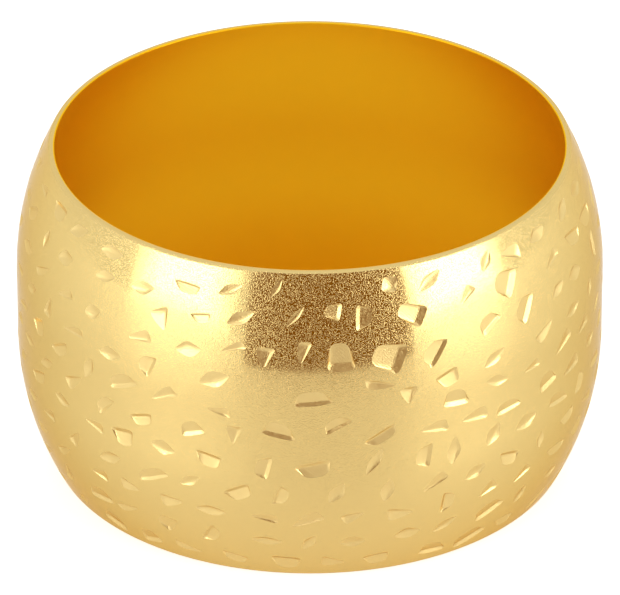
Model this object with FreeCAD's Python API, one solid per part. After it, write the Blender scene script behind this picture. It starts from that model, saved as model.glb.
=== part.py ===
import FreeCAD, Part

import math
import os
import random

# A gold coloured napkin ring: one thin barrel-shaped band of sheet metal, open at both ends.
# The inside is smooth. The outside is covered with small faceted marks, struck with a punch.
# The ring stands on its lower rim, with its axis along Z and the origin at the centre of the
# plane that it stands on. Azimuth 0 faces -Y, and azimuth grows towards +X. The rise of a
# place is its height above the middle of the band. All lengths are in millimetres.

# The band
BELLY_DIAMETER = 50.0
HEIGHT = 29.2
WALL = 0.5

# Its side view: a straight belly between two shoulders, each a zone of a ball as wide as the belly
BELLY_BAND = 5.8

# The cut rims, their corners broken where fingers and cloth pass over them
RIM_INSIDE_BREAK = 0.1
RIM_OUTSIDE_BREAK = 0.15
BREAK_WALL_SHARE = 0.3

# The marks, in staggered rows that drift a little as hand work does
RIM_MARGIN = 1.6
ROW_PITCH = 2.6
MARK_PITCH = 4.1
MARK_SEED = 7
DRIFT_ALONG = 0.5
DRIFT_UP = 0.3
MARK_LENGTH = 2.8
MARK_WIDTH = 1.15
MARK_DEPTH = 0.15
SIZE_SPREAD = 0.25
LEAN_MEAN = 8.0
LEAN_SPREAD = 24.0
STEEP_SHARE = 0.2
STEEP_LEAN = 62.0
STEEP_LENGTH_SHARE = 0.8
FREE_LENGTH = 2.6
FREE_HEIGHT = 1.75

# How far the punch stands out of the metal at its deepest stroke, and how much deeper a wide
# mark goes than one of the usual width and depth
PUNCH_RISE = 0.12
DEPTH_GROWTH = 0.5

# The end of each punch, as shares of a mark's length and width from its middle: the outline
# that it leaves in the surface, and the one or two points of its deepest edge
DART = ([(-0.5, -0.1), (0.5, -0.5), (0.36, 0.5)], [(0.26, -0.24)])
LENS = ([(-0.5, -0.04), (0.04, -0.5), (0.5, 0.1), (-0.06, 0.5)], [(0.06, -0.16)])
CHIP = ([(-0.42, -0.5), (0.5, -0.5), (0.2, 0.5), (-0.28, 0.5)], [(-0.3, -0.24), (0.36, -0.24)])
PUNCHES = [DART, LENS, CHIP]

# The boldest marks, each set by itself: azimuth, rise, lean, length, width and punch. The
# lean turns the mark anticlockwise, and its steep side lies below it at a lean of 0.
BOLD_MARKS = [
    (-7.0, 13.3, 57, 2.0, 0.6, LENS), (-3.0, 11.2, 49, 2.7, 0.6, LENS),
    (4.6, 11.6, 80, 1.5, 1.2, CHIP), (10.9, 11.0, 265, 2.2, 1.2, CHIP),
    (16.8, 13.3, 25, 1.7, 1.5, LENS), (20.6, 10.8, 60, 1.9, 2.3, CHIP),
    (-9.0, 7.7, 80, 1.9, 1.6, DART), (-1.6, 8.2, 75, 2.2, 1.2, DART),
    (5.9, 7.9, 0, 2.4, 2.4, CHIP), (15.2, 7.5, 68, 2.8, 2.7, CHIP),
    (24.6, 7.2, 54, 2.9, 1.3, CHIP), (-15.4, 8.3, 20, 2.4, 0.8, DART),
    (-14.0, 10.8, 26, 3.0, 1.1, LENS), (-16.6, 12.9, 24, 2.5, 0.9, LENS),
    (-25.8, 12.4, 176, 2.5, 0.8, CHIP), (-22.0, 10.3, 190, 1.8, 0.7, CHIP),
    (-30.8, 9.3, 110, 2.0, 1.9, DART), (-24.1, 7.5, 186, 2.6, 1.4, LENS),
    (-18.6, 5.3, 18, 3.3, 1.5, LENS), (0.4, 4.2, 6, 3.4, 1.2, CHIP),
    (18.9, 3.7, 85, 1.6, 1.6, DART), (5.0, 1.7, 28, 2.5, 0.9, CHIP),
    (-6.0, 1.1, -12, 2.9, 1.2, CHIP), (27.6, 4.5, 200, 2.2, 1.3, CHIP),
    (43.0, 10.9, 60, 2.6, 2.0, CHIP), (39.6, 13.1, 50, 2.2, 1.0, LENS),
    (46.8, 8.1, 58, 2.8, 1.4, CHIP), (37.4, 8.3, 30, 2.4, 1.2, CHIP),
    (38.0, 5.0, 24, 3.0, 1.1, LENS), (33.0, 11.1, 40, 2.0, 1.0, DART),
    (-36.0, 11.4, 10, 2.6, 1.2, LENS), (-46.0, 11.0, 12, 2.6, 1.0, LENS),
    (-42.0, 4.8, 5, 2.8, 1.2, LENS), (-35.4, 7.4, 15, 2.6, 1.2, DART),
    (12.4, -2.2, 56, 2.9, 0.9, LENS), (22.3, -2.4, 82, 2.2, 1.2, CHIP),
]


def polar(radius, azimuth, height):
    """The point at a radius, an azimuth in degrees and a height."""
    turn = math.radians(azimuth)
    return FreeCAD.Vector(radius * math.sin(turn), -radius * math.cos(turn), height)


def wall_place(rise, inset):
    """Radius at a rise, inset from the outer face, and the radius and height of its normal."""
    ball = BELLY_DIAMETER / 2 - inset
    lift = max(abs(rise) - BELLY_BAND / 2, 0)
    radius = math.sqrt(ball ** 2 - lift ** 2)
    return radius, radius / ball, math.copysign(lift / ball, rise)


def wall_point(rise, inset):
    """The point of one face of the wall on the side view's plane."""
    return FreeCAD.Vector(wall_place(rise, inset)[0], 0, HEIGHT / 2 + rise)


def wall_face(inset, corner_break):
    """One face of the wall in side view, from the break at the lower rim to that at the upper."""
    end = HEIGHT / 2 - corner_break
    bend = BELLY_BAND / 2
    middle = (end + bend) / 2
    edges = []
    for low, through, high in [(-end, -middle, -bend), (bend, middle, end)]:
        arc = Part.Arc(wall_point(low, inset), wall_point(through, inset), wall_point(high, inset))
        edges.append(arc.toShape())
    belly = Part.makeLine(wall_point(-bend, inset), wall_point(bend, inset))
    return [edges[0], belly, edges[1]]


def rim_edges(rise, inside_break, outside_break):
    """A cut rim in side view, with the breaks at its two corners."""
    side = math.copysign(1, rise)
    inner_wall = wall_point(rise - side * inside_break, WALL)
    inner = wall_point(rise, WALL) + FreeCAD.Vector(inside_break, 0, 0)
    outer = wall_point(rise, 0) - FreeCAD.Vector(outside_break, 0, 0)
    outer_wall = wall_point(rise - side * outside_break, 0)
    points = [inner_wall, inner, outer, outer_wall]
    return [Part.makeLine(start, end) for start, end in zip(points, points[1:])]


def plain_band():
    """The spun band before it is marked."""
    inside_break = min(RIM_INSIDE_BREAK, WALL * BREAK_WALL_SHARE)
    outside_break = min(RIM_OUTSIDE_BREAK, WALL * BREAK_WALL_SHARE)
    edges = rim_edges(-HEIGHT / 2, inside_break, outside_break)
    edges += wall_face(0, outside_break)
    edges += rim_edges(HEIGHT / 2, inside_break, outside_break)
    edges += wall_face(WALL, inside_break)
    section = Part.Face(Part.Wire(Part.sortEdges(edges)[0]))
    axis = FreeCAD.Vector(0, 0, 1)
    band = section.revolve(FreeCAD.Vector(), axis, 360)
    band.rotate(FreeCAD.Vector(), axis, 90)
    return band


def punch(azimuth, rise, lean, length, width, depth, end):
    """The punch where it has struck the band, as a solid with flat sides."""
    radius, out, up = wall_place(rise, 0)
    middle = polar(radius, azimuth, HEIGHT / 2 + rise)
    outward = polar(out, azimuth, up)
    right = polar(1, azimuth + 90, 0)
    upward = outward.cross(right)
    turn = math.radians(lean)
    along = right * math.cos(turn) + upward * math.sin(turn)
    across = upward * math.cos(turn) - right * math.sin(turn)
    outline, valley = end
    deep = [middle + along * (u * length) + across * (v * width) - outward * depth for u, v in valley]
    corners = []
    for u, v in outline:
        corner = middle + along * (u * length) + across * (v * width)
        foot = min(deep, key=lambda point: point.distanceToPoint(corner))
        corners.append(corner + (corner - foot) * (PUNCH_RISE / depth))
    return flat_sided(corners, deep)


def flat_sided(corners, deep):
    """A solid between an outline, anticlockwise from its lower left corner, and its deep points."""
    faces = [corners]
    for n, corner in enumerate(corners):
        following = corners[(n + 1) % len(corners)]
        if len(deep) == 1 or n % 2:
            end = deep[0] if n == len(corners) - 1 else deep[-1]
            faces.append([corner, following, end])
        else:
            ends = deep[::-1] if n == 0 else deep
            faces.append([corner, following] + ends)
    shell = Part.Shell([Part.Face(Part.makePolygon(points + points[:1])) for points in faces])
    return Part.Solid(shell)


def scattered_marks():
    """The marks that fill the band round the bold ones, as azimuth, rise, lean, size and punch."""
    chance = random.Random(MARK_SEED)
    field = HEIGHT - 2 * RIM_MARGIN
    rows = 1 + max(1, round(field / ROW_PITCH))
    marks = []
    for row in range(rows):
        row_rise = field * (row / (rows - 1) - 0.5)
        radius = wall_place(row_rise, 0)[0]
        around = round(2 * math.pi * radius / MARK_PITCH)
        for step in range(around):
            drift = math.degrees(chance.uniform(-DRIFT_ALONG, DRIFT_ALONG) / radius)
            azimuth = 360 * (step + row % 2 / 2) / around + drift - 180
            rise = row_rise + chance.uniform(-DRIFT_UP, DRIFT_UP) * math.sin(math.pi * row / (rows - 1))
            lean = LEAN_MEAN + chance.uniform(-LEAN_SPREAD, LEAN_SPREAD)
            length = MARK_LENGTH * chance.uniform(1 - SIZE_SPREAD, 1 + SIZE_SPREAD)
            if chance.random() < STEEP_SHARE and 0 < row < rows - 1:
                lean += STEEP_LEAN
                length *= STEEP_LENGTH_SHARE
            if chance.random() < 0.5:
                lean += 180
            width = MARK_WIDTH * chance.uniform(1 - SIZE_SPREAD, 1 + SIZE_SPREAD)
            end = PUNCHES[int(chance.random() * len(PUNCHES))]
            if is_free(azimuth, rise, radius):
                marks.append((azimuth, rise, lean, length, width, end))
    return marks


def is_free(azimuth, rise, radius):
    """Whether a place is clear of every bold mark."""
    for mark in BOLD_MARKS:
        along = math.radians(azimuth - mark[0]) * radius / FREE_LENGTH
        if math.hypot(along, (rise - mark[1]) / FREE_HEIGHT) < 1:
            return False
    return True


def marked_band():
    """The band with every mark struck into its outside."""
    band = plain_band()
    marks = [mark for mark in BOLD_MARKS if abs(mark[1]) < HEIGHT / 2 - RIM_MARGIN / 2]
    marks += scattered_marks()
    struck = []
    for azimuth, rise, lean, length, width, end in marks:
        depth = MARK_DEPTH * (width / MARK_WIDTH) ** DEPTH_GROWTH
        struck.append(punch(azimuth, rise, lean, length, width, depth, end))
    return band.cut(struck)


os.makedirs("parts", exist_ok=True)
ring_band = marked_band()
ring_band.exportStep("parts/ring_band.step")
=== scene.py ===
import math
import random

import bpy
from mathutils import Matrix, Vector


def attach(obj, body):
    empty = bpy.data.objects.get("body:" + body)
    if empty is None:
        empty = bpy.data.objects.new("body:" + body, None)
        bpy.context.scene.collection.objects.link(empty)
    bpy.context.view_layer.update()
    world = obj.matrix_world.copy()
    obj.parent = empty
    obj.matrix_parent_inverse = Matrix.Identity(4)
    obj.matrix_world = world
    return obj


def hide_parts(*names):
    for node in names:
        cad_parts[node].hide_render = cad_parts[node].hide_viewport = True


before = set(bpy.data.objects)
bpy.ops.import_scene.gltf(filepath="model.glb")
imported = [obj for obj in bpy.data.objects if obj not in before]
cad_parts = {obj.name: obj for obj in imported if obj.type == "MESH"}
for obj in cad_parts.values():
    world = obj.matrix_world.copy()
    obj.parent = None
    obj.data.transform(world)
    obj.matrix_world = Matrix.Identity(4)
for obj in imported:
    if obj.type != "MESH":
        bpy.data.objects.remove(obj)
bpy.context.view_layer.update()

bpy.ops.object.select_all(action="DESELECT")


# Camera: a long lens two thirds of a metre off, looking down on the ring that stands on its lower rim.
# It aims a little under the ring's middle, as the photograph does.
MM = 0.001
RING_HEIGHT = 29.2 * MM
CAMERA_DISTANCE = 0.663
CAMERA_RISE = math.radians(29.99)
CAMERA_LENS = 450.1
SENSOR_WIDTH = 36
NEAR_CLIP = 0.01
AIM_RIGHT = 0.02 * MM
AIM_UP = -0.45 * MM

camera_back = Vector((0, -math.cos(CAMERA_RISE), math.sin(CAMERA_RISE)))
camera_up = Vector((0, math.sin(CAMERA_RISE), math.cos(CAMERA_RISE)))
aim = Vector((AIM_RIGHT, 0, RING_HEIGHT / 2)) + camera_up * AIM_UP
bpy.ops.object.camera_add(
    location=aim + camera_back * CAMERA_DISTANCE,
    rotation=(math.pi / 2 - CAMERA_RISE, 0, 0),
)
camera = bpy.context.object
camera.name = "camera"
camera.data.lens = CAMERA_LENS
camera.data.sensor_width = SENSOR_WIDTH
camera.data.clip_start = NEAR_CLIP
bpy.context.scene.camera = camera


# Plain band: one strip of gold plated metal, spun to a barrel. Its section is a straight belly
# between two ball-shaped shoulders, with softly rounded rims.
BELLY_RADIUS = 25 * MM
BELLY_BAND = 5.8 * MM
WALL = 0.5 * MM
RIM_ROUND = 0.2 * MM
RIM_FACETS = 4
OUTSIDE_SPANS = 60
INSIDE_SPANS = 30
AROUND = 320
MERGE = 0.001 * MM


def wall_place(rise, inset):
    """Radius at a rise above mid-height, inset from the outer face, and its normal."""
    ball = BELLY_RADIUS - inset
    lift = max(abs(rise) - BELLY_BAND / 2, 0)
    radius = math.sqrt(ball ** 2 - lift ** 2)
    return radius, radius / ball, math.copysign(lift / ball, rise)


def select_vertices(mesh_object, chosen):
    """Selects the vertices that chosen says yes to, from object mode."""
    bpy.ops.object.mode_set(mode="EDIT")
    bpy.ops.mesh.select_mode(type="VERT")
    bpy.ops.mesh.select_all(action="DESELECT")
    bpy.ops.object.mode_set(mode="OBJECT")
    for vertex in mesh_object.data.vertices:
        vertex.select = chosen(vertex.co)


def section_side(inset, spans):
    """One face of the wall as an open line: an upright edge, divided and pushed out to shape."""
    bpy.ops.mesh.primitive_plane_add(size=RING_HEIGHT)
    side = bpy.context.object
    bpy.ops.object.mode_set(mode="OBJECT")
    select_vertices(side, lambda co: co.x > 0)
    bpy.ops.object.mode_set(mode="EDIT")
    bpy.ops.mesh.delete(type="VERT")
    bpy.ops.mesh.select_all(action="SELECT")
    bpy.ops.mesh.subdivide(number_cuts=spans - 1)
    bpy.ops.object.mode_set(mode="OBJECT")
    for vertex in side.data.vertices:
        rise = vertex.co.y
        vertex.co = (wall_place(rise, inset)[0], 0, RING_HEIGHT / 2 + rise)
    return side


outside_line = section_side(0, OUTSIDE_SPANS)
inside_line = section_side(WALL, INSIDE_SPANS)
bpy.ops.object.select_all(action="DESELECT")
inside_line.select_set(True)
outside_line.select_set(True)
bpy.context.view_layer.objects.active = outside_line
bpy.ops.object.join()
band = bpy.context.object
band.name = "ring_band_dressed"

corner_height = RING_HEIGHT / 2 - MERGE
for side in (-1, 1):
    select_vertices(band, lambda co: (co.z - RING_HEIGHT / 2) * side > corner_height)
    bpy.ops.object.mode_set(mode="EDIT")
    bpy.ops.mesh.edge_face_add()
    bpy.ops.object.mode_set(mode="OBJECT")
select_vertices(band, lambda co: abs(co.z - RING_HEIGHT / 2) > corner_height)
bpy.ops.object.mode_set(mode="EDIT")
bpy.ops.mesh.bevel(affect="VERTICES", offset=RIM_ROUND, segments=RIM_FACETS)
bpy.ops.mesh.select_all(action="SELECT")
bpy.ops.mesh.spin(steps=AROUND, angle=math.tau, center=(0, 0, 0), axis=(0, 0, 1))
bpy.ops.mesh.select_all(action="SELECT")
bpy.ops.mesh.remove_doubles(threshold=MERGE)
bpy.ops.mesh.normals_make_consistent(inside=False)
bpy.ops.object.mode_set(mode="OBJECT")


# Gold: a plate on the band, over a fine blasted grain outside. Inside it is smoother and deeper,
# and lit mostly by its own reflections. In the marks the punch has pressed the grain nearly flat
# and left the fine lines of its filed face. The marks' gold is also painted a little paler than
# the band's, a painted highlight that lightens their faces.
OUTSIDE_GOLD = (0.76, 0.565, 0.22, 1)
# Paler than OUTSIDE_GOLD: a painted highlight that lightens the faces of the marks.
STRUCK_GOLD_AND_PAINTED_HIGHLIGHT = (0.785, 0.59, 0.243, 1)
INSIDE_GOLD = (0.93, 0.56, 0.016, 1)
GRAZING_TINT = (0.85, 0.70, 0.48, 1)
OUTSIDE_ROUGHNESS = 0.12
INSIDE_ROUGHNESS = 0.42
STRUCK_ROUGHNESS = 0.31
GRAIN_SIZE = 0.1 * MM
GRAIN_DETAIL = 1
PIT_START = 0.52
PIT_END = 0.62
GRAIN_HEIGHT = 0.0078 * MM
INSIDE_GRAIN = 0.003 * MM
STRUCK_GRAIN = 0.007 * MM
STRIPE_SCALE = 1848
STRIPE_WAVER = 3
STRIPE_WAVER_SCALE = 0.2
STRIPE_HEIGHT = 0.003 * MM
INSIDE_SHARE = 0.75


def gold(name, colour, roughness, grain_height):
    """A metal with a fine grain in its surface."""
    metal = bpy.data.materials.new(name)
    metal.use_nodes = True
    nodes = metal.node_tree.nodes
    links = metal.node_tree.links
    shader = nodes["Principled BSDF"]
    shader.inputs["Metallic"].default_value = 1
    shader.inputs["Base Color"].default_value = colour
    shader.inputs["Specular Tint"].default_value = GRAZING_TINT
    shader.inputs["Roughness"].default_value = roughness
    place = nodes.new("ShaderNodeTexCoord")
    grain = nodes.new("ShaderNodeTexNoise")
    grain.inputs["Scale"].default_value = 1 / GRAIN_SIZE
    grain.inputs["Detail"].default_value = GRAIN_DETAIL
    links.new(place.outputs["Object"], grain.inputs["Vector"])
    pits = nodes.new("ShaderNodeMapRange")
    pits.inputs["From Min"].default_value = PIT_START
    pits.inputs["From Max"].default_value = PIT_END
    links.new(grain.outputs["Fac"], pits.inputs["Value"])
    bump = nodes.new("ShaderNodeBump")
    bump.inputs["Distance"].default_value = grain_height
    links.new(pits.outputs["Result"], bump.inputs["Height"])
    links.new(bump.outputs["Normal"], shader.inputs["Normal"])
    return metal


def add_stripes(metal):
    """Fine wavering lines, 0.2 mm apart or more, added to the grain of a metal."""
    nodes = metal.node_tree.nodes
    links = metal.node_tree.links
    stripes = nodes.new("ShaderNodeTexWave")
    stripes.bands_direction = "DIAGONAL"
    stripes.inputs["Scale"].default_value = STRIPE_SCALE
    stripes.inputs["Distortion"].default_value = STRIPE_WAVER
    stripes.inputs["Detail Scale"].default_value = STRIPE_WAVER_SCALE
    links.new(nodes["Texture Coordinate"].outputs["Object"], stripes.inputs["Vector"])
    ridges = nodes.new("ShaderNodeBump")
    ridges.inputs["Distance"].default_value = STRIPE_HEIGHT
    links.new(stripes.outputs["Fac"], ridges.inputs["Height"])
    links.new(nodes["Bump"].outputs["Normal"], ridges.inputs["Normal"])
    links.new(ridges.outputs["Normal"], nodes["Principled BSDF"].inputs["Normal"])


band.data.materials.append(gold("satin_gold", OUTSIDE_GOLD, OUTSIDE_ROUGHNESS, GRAIN_HEIGHT))
band.data.materials.append(gold("inside_gold", INSIDE_GOLD, INSIDE_ROUGHNESS, INSIDE_GRAIN))
# The marks' metal is painted paler than the band's gold, a painted highlight on their faces.
struck_metal_and_painted_highlight = gold("struck_gold_and_painted_highlight", STRUCK_GOLD_AND_PAINTED_HIGHLIGHT, STRUCK_ROUGHNESS, STRUCK_GRAIN)
add_stripes(struck_metal_and_painted_highlight)
inside_depth = WALL * INSIDE_SHARE
for face in band.data.polygons:
    outside_radius = wall_place(face.center.z - RING_HEIGHT / 2, 0)[0]
    depth = outside_radius - math.hypot(face.center.x, face.center.y)
    face.material_index = 1 if depth > inside_depth else 0


# Punch marks: small flat-sided dents, struck one by one all over the outside with three punches,
# in staggered rows that drift as hand work does. A few bold ones are set by themselves.
RIM_MARGIN = 1.6 * MM
ROW_PITCH = 2.6 * MM
MARK_PITCH = 4.1 * MM
MARK_SEED = 7
DRIFT_ALONG = 0.5 * MM
DRIFT_UP = 0.3 * MM
MARK_LENGTH = 2.8 * MM
MARK_WIDTH = 1.15 * MM
MARK_DEPTH = 0.15 * MM
SIZE_SPREAD = 0.25
LEAN_MEAN = 8.0
LEAN_SPREAD = 24.0
STEEP_SHARE = 0.2
STEEP_LEAN = 62.0
STEEP_LENGTH_SHARE = 0.8
TURNED_SHARE = 0.5
FREE_LENGTH = 2.6 * MM
FREE_HEIGHT = 1.75 * MM
PUNCH_RISE = 0.12 * MM
DEPTH_GROWTH = 0.5
PUNCH_WEAR = 0.17
WEAR_FACETS = 3
PUNCH_SWELL = 1.18
SMOOTH_ANGLE = math.radians(3.5)

# The end of each punch, as shares of a mark's length and width from its middle: the outline that
# it leaves in the surface, and the one or two points of its deepest edge.
DART = ([(-0.5, -0.1), (0.5, -0.5), (0.36, 0.5)], [(0.26, -0.24)])
LENS = ([(-0.5, -0.04), (0.04, -0.5), (0.5, 0.1), (-0.06, 0.5)], [(0.06, -0.16)])
CHIP = ([(-0.42, -0.5), (0.5, -0.5), (0.2, 0.5), (-0.28, 0.5)], [(-0.3, -0.24), (0.36, -0.24)])
PUNCHES = [DART, LENS, CHIP]

# The boldest marks: azimuth in degrees, rise in millimetres, lean in degrees, length and width in
# millimetres, and punch. The lean turns a mark anticlockwise.
BOLD_MARKS = [
    (-7.0, 13.3, 57, 2.0, 0.6, LENS), (-3.0, 11.2, 49, 2.7, 0.6, LENS),
    (4.6, 11.6, 80, 1.5, 1.2, CHIP), (10.9, 11.0, 265, 2.2, 1.2, CHIP),
    (16.8, 13.3, 25, 1.7, 1.5, LENS), (20.6, 10.8, 60, 1.9, 2.3, CHIP),
    (-9.0, 7.7, 80, 1.9, 1.6, DART), (-1.6, 8.2, 75, 2.2, 1.2, DART),
    (5.9, 7.9, 0, 2.4, 2.4, CHIP), (15.2, 7.5, 68, 2.8, 2.7, CHIP),
    (24.6, 7.2, 54, 2.9, 1.3, CHIP), (-15.4, 8.3, 20, 2.4, 0.8, DART),
    (-14.0, 10.8, 26, 3.0, 1.1, LENS), (-16.6, 12.9, 24, 2.5, 0.9, LENS),
    (-25.8, 12.4, 176, 2.5, 0.8, CHIP), (-22.0, 10.3, 190, 1.8, 0.7, CHIP),
    (-30.8, 9.3, 110, 2.0, 1.9, DART), (-24.1, 7.5, 186, 2.6, 1.4, LENS),
    (-18.6, 5.3, 18, 3.3, 1.5, LENS), (0.4, 4.2, 6, 3.4, 1.2, CHIP),
    (18.9, 3.7, 85, 1.6, 1.6, DART), (5.0, 1.7, 28, 2.5, 0.9, CHIP),
    (-6.0, 1.1, -12, 2.9, 1.2, CHIP), (27.6, 4.5, 200, 2.2, 1.3, CHIP),
    (43.0, 10.9, 60, 2.6, 2.0, CHIP), (39.6, 13.1, 50, 2.2, 1.0, LENS),
    (46.8, 8.1, 58, 2.8, 1.4, CHIP), (37.4, 8.3, 30, 2.4, 1.2, CHIP),
    (38.0, 5.0, 24, 3.0, 1.1, LENS), (33.0, 11.1, 40, 2.0, 1.0, DART),
    (-36.0, 11.4, 10, 2.6, 1.2, LENS), (-46.0, 11.0, 12, 2.6, 1.0, LENS),
    (-42.0, 4.8, 5, 2.8, 1.2, LENS), (-35.4, 7.4, 15, 2.6, 1.2, DART),
    (12.4, -2.2, 56, 2.9, 0.9, LENS), (22.3, -2.4, 82, 2.2, 1.2, CHIP),
]


def is_free(azimuth, rise, radius):
    """Whether a place is clear of every bold mark."""
    for mark in BOLD_MARKS:
        along = math.radians(azimuth - mark[0]) * radius / FREE_LENGTH
        if math.hypot(along, (rise - mark[1] * MM) / FREE_HEIGHT) < 1:
            return False
    return True


def scattered_marks():
    """The marks that fill the band round the bold ones."""
    chance = random.Random(MARK_SEED)
    field = RING_HEIGHT - 2 * RIM_MARGIN
    rows = 1 + max(1, round(field / ROW_PITCH))
    marks = []
    for row in range(rows):
        row_rise = field * (row / (rows - 1) - 0.5)
        radius = wall_place(row_rise, 0)[0]
        around = round(math.tau * radius / MARK_PITCH)
        for step in range(around):
            drift = math.degrees(chance.uniform(-DRIFT_ALONG, DRIFT_ALONG) / radius)
            azimuth = 360 * (step + row % 2 / 2) / around + drift - 180
            rise = row_rise + chance.uniform(-DRIFT_UP, DRIFT_UP) * math.sin(math.pi * row / (rows - 1))
            lean = LEAN_MEAN + chance.uniform(-LEAN_SPREAD, LEAN_SPREAD)
            length = MARK_LENGTH * chance.uniform(1 - SIZE_SPREAD, 1 + SIZE_SPREAD)
            if chance.random() < STEEP_SHARE and 0 < row < rows - 1:
                lean += STEEP_LEAN
                length *= STEEP_LENGTH_SHARE
            if chance.random() < TURNED_SHARE:
                lean += 180
            width = MARK_WIDTH * chance.uniform(1 - SIZE_SPREAD, 1 + SIZE_SPREAD)
            end = PUNCHES[int(chance.random() * len(PUNCHES))]
            if is_free(azimuth, rise, radius):
                marks.append((azimuth, rise, lean, length, width, end))
    return marks


def punch_end(end):
    """One punch of unit length, width and depth, swollen by what its worn edges lose."""
    outline, valley = end
    bpy.ops.mesh.primitive_circle_add(vertices=len(outline) + len(valley), fill_type="NOTHING")
    punch = bpy.context.object
    points = [Vector((u, v, -1)) * PUNCH_SWELL for u, v in valley]
    for u, v in outline:
        corner = Vector((u, v, 0)) * PUNCH_SWELL
        foot = min(points[:len(valley)], key=lambda point: (point - corner).length)
        points.append(corner + (corner - foot) * (PUNCH_RISE / MARK_DEPTH))
    for vertex, point in zip(punch.data.vertices, points):
        vertex.co = point
    bpy.ops.object.mode_set(mode="EDIT")
    bpy.ops.mesh.select_all(action="SELECT")
    bpy.ops.mesh.convex_hull()
    bpy.ops.mesh.bevel(offset=PUNCH_WEAR, segments=WEAR_FACETS, clamp_overlap=True)
    bpy.ops.mesh.normals_make_consistent(inside=False)
    bpy.ops.object.mode_set(mode="OBJECT")
    punch.data.materials.append(struck_metal_and_painted_highlight)
    return punch


def struck(punch, azimuth, rise, lean, length, width):
    """A copy of a punch where it has struck the band."""
    radius, out, up = wall_place(rise, 0)
    turn = math.radians(azimuth)
    middle = Vector((radius * math.sin(turn), -radius * math.cos(turn), RING_HEIGHT / 2 + rise))
    outward = Vector((out * math.sin(turn), -out * math.cos(turn), up))
    right = Vector((math.cos(turn), math.sin(turn), 0))
    upward = outward.cross(right)
    tilt = math.radians(lean)
    along = (right * math.cos(tilt) + upward * math.sin(tilt)) * length
    across = (upward * math.cos(tilt) - right * math.sin(tilt)) * width
    depth = MARK_DEPTH * (width / MARK_WIDTH) ** DEPTH_GROWTH
    place = Matrix((along, across, outward * depth)).transposed().to_4x4()
    place.translation = middle
    copy = punch.copy()
    copy.data = punch.data.copy()
    copy.data.transform(place)
    bpy.context.collection.objects.link(copy)
    return copy


bold = [(azimuth, rise * MM, lean, length * MM, width * MM, end)
        for azimuth, rise, lean, length, width, end in BOLD_MARKS]
punch_objects = [punch_end(end) for end in PUNCHES]
copies = []
for azimuth, rise, lean, length, width, end in bold + scattered_marks():
    punch = punch_objects[PUNCHES.index(end)]
    copies.append(struck(punch, azimuth, rise, lean, length, width))
bpy.ops.object.select_all(action="DESELECT")
for copy in copies:
    copy.select_set(True)
bpy.context.view_layer.objects.active = copies[0]
bpy.ops.object.join()
strikes = bpy.context.object
bpy.ops.object.select_all(action="DESELECT")
band.select_set(True)
bpy.context.view_layer.objects.active = band
marking = band.modifiers.new("marks", "BOOLEAN")
marking.operation = "DIFFERENCE"
marking.solver = "EXACT"
marking.material_mode = "TRANSFER"
marking.object = strikes
bpy.ops.object.modifier_apply(modifier=marking.name)
for tool in punch_objects + [strikes]:
    bpy.data.objects.remove(tool)
bpy.ops.object.shade_smooth_by_angle(angle=SMOOTH_ANGLE)

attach(band, "root")
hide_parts("ring_band")


# Floor: a plain white sheet with a soft sheen, which the ring stands on. It glows a little in the
# metal and more to the camera, so that it looks as white as the room.
FLOOR_SIZE = 3.0
FLOOR_COLOUR = (0.8, 0.8, 0.8, 1)
FLOOR_GLOW = 0.31
FLOOR_GLOW_TO_CAMERA = 0.6
FLOOR_ROUGHNESS = 0.4
FLOOR_GLOSS = 0.8

bpy.ops.mesh.primitive_plane_add(size=FLOOR_SIZE)
floor = bpy.context.object
floor.name = "floor"
sheet = bpy.data.materials.new("white_sheet")
sheet.use_nodes = True
paper = sheet.node_tree.nodes["Principled BSDF"]
paper.inputs["Base Color"].default_value = FLOOR_COLOUR
paper.inputs["Roughness"].default_value = FLOOR_ROUGHNESS
paper.inputs["Specular IOR Level"].default_value = FLOOR_GLOSS
paper.inputs["Emission Color"].default_value = (1, 1, 1, 1)
ray = sheet.node_tree.nodes.new("ShaderNodeLightPath")
mirrored = sheet.node_tree.nodes.new("ShaderNodeMath")
mirrored.operation = "MAXIMUM"
sheet.node_tree.links.new(ray.outputs["Is Glossy Ray"], mirrored.inputs[0])
sheet.node_tree.links.new(ray.outputs["Is Transmission Ray"], mirrored.inputs[1])
glow = sheet.node_tree.nodes.new("ShaderNodeMath")
glow.operation = "MULTIPLY"
glow.inputs[1].default_value = FLOOR_GLOW
sheet.node_tree.links.new(mirrored.outputs[0], glow.inputs[0])
strength = sheet.node_tree.nodes.new("ShaderNodeMath")
strength.operation = "MULTIPLY_ADD"
strength.inputs[1].default_value = FLOOR_GLOW_TO_CAMERA
sheet.node_tree.links.new(ray.outputs["Is Camera Ray"], strength.inputs[0])
sheet.node_tree.links.new(glow.outputs[0], strength.inputs[2])
sheet.node_tree.links.new(strength.outputs[0], paper.inputs["Emission Strength"])
floor.data.materials.append(sheet)


# Light: a white room, two soft boxes in front to the left and right, each of three layers so that
# its edge is soft, and a dark brown board between them, for the darker field in the metal.
ROOM_LIGHT = 0.72
ROOM_SEEN = 1
BOX_WIDTH = 0.72
BOX_HEIGHT = 0.56
BOX_DISTANCE = 0.9
LAYER_GAP = 0.02
LAYER_SHARES = (1, 0.75, 0.5)
LEFT_POWER = 4.2
RIGHT_POWER = 5.0
BOX_RISE = math.radians(17)
LEFT_BOX = math.radians(-51)
RIGHT_BOX = math.radians(59)
BOARD_COLOUR = (0.36, 0.155, 0.006, 1)
BOARD_ROUGHNESS = 0.9
BOARD_DISTANCE = 0.115
BOARD_WIDTH = 0.13
BOARD_RIGHT = 0.018
BOARD_HEIGHT = 0.13

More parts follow.
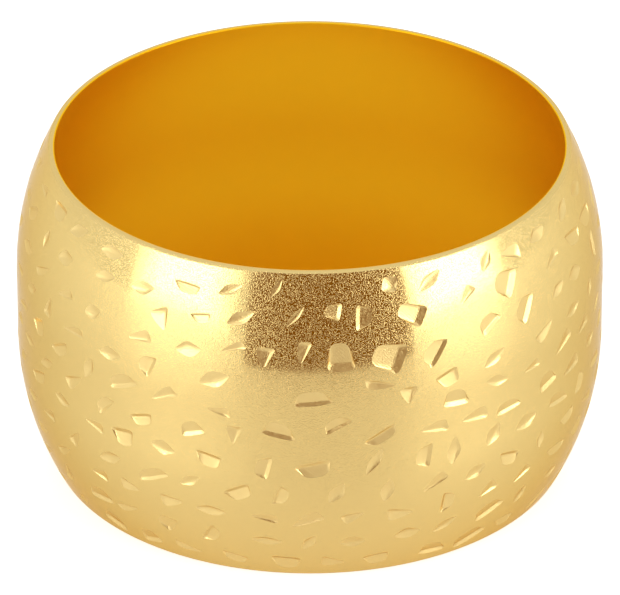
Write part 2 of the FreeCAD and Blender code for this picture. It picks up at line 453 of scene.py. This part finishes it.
room = bpy.data.worlds.new("room")
bpy.context.scene.world = room
room.use_nodes = True
air = room.node_tree.nodes["Background"]
air.inputs["Color"].default_value = (1, 1, 1, 1)
seen = room.node_tree.nodes.new("ShaderNodeLightPath")
level_from = seen.outputs["Is Camera Ray"]
for kind in ("Is Glossy Ray", "Is Transmission Ray"):
    shown = room.node_tree.nodes.new("ShaderNodeMath")
    shown.operation = "MAXIMUM"
    room.node_tree.links.new(level_from, shown.inputs[0])
    room.node_tree.links.new(seen.outputs[kind], shown.inputs[1])
    level_from = shown.outputs[0]
level = room.node_tree.nodes.new("ShaderNodeMapRange")
level.inputs["To Min"].default_value = ROOM_LIGHT
level.inputs["To Max"].default_value = ROOM_SEEN
room.node_tree.links.new(level_from, level.inputs["Value"])
room.node_tree.links.new(level.outputs[0], air.inputs["Strength"])


def soft_box(name, azimuth, layer, power):
    """One layer of a soft box that faces the ring, by its power for each square metre."""
    away = Vector((
        math.cos(BOX_RISE) * math.sin(azimuth),
        -math.cos(BOX_RISE) * math.cos(azimuth),
        math.sin(BOX_RISE),
    ))
    bpy.ops.object.light_add(type="AREA", location=away * (BOX_DISTANCE - layer * LAYER_GAP))
    lamp = bpy.context.object
    lamp.name = f"soft_box_{name}_{layer}"
    lamp.rotation_euler = away.to_track_quat("Z", "Y").to_euler()
    lamp.data.shape = "RECTANGLE"
    lamp.data.size = BOX_WIDTH * LAYER_SHARES[layer]
    lamp.data.size_y = BOX_HEIGHT * LAYER_SHARES[layer]
    lamp.data.energy = power * lamp.data.size * lamp.data.size_y


for layer in range(len(LAYER_SHARES)):
    soft_box("left", LEFT_BOX, layer, LEFT_POWER)
    soft_box("right", RIGHT_BOX, layer, RIGHT_POWER)

bpy.ops.mesh.primitive_plane_add(
    size=1, location=(BOARD_RIGHT, -BOARD_DISTANCE, BOARD_HEIGHT / 2), rotation=(math.pi / 2, 0, 0))
board = bpy.context.object
board.name = "board"
board.scale = (BOARD_WIDTH, BOARD_HEIGHT, 1)
card = bpy.data.materials.new("brown_card")
card.use_nodes = True
brown = card.node_tree.nodes["Principled BSDF"]
brown.inputs["Base Color"].default_value = BOARD_COLOUR
brown.inputs["Roughness"].default_value = BOARD_ROUGHNESS
board.data.materials.append(card)
board.visible_camera = False
board.visible_shadow = False

bpy.context.scene.view_settings.view_transform = "Standard"
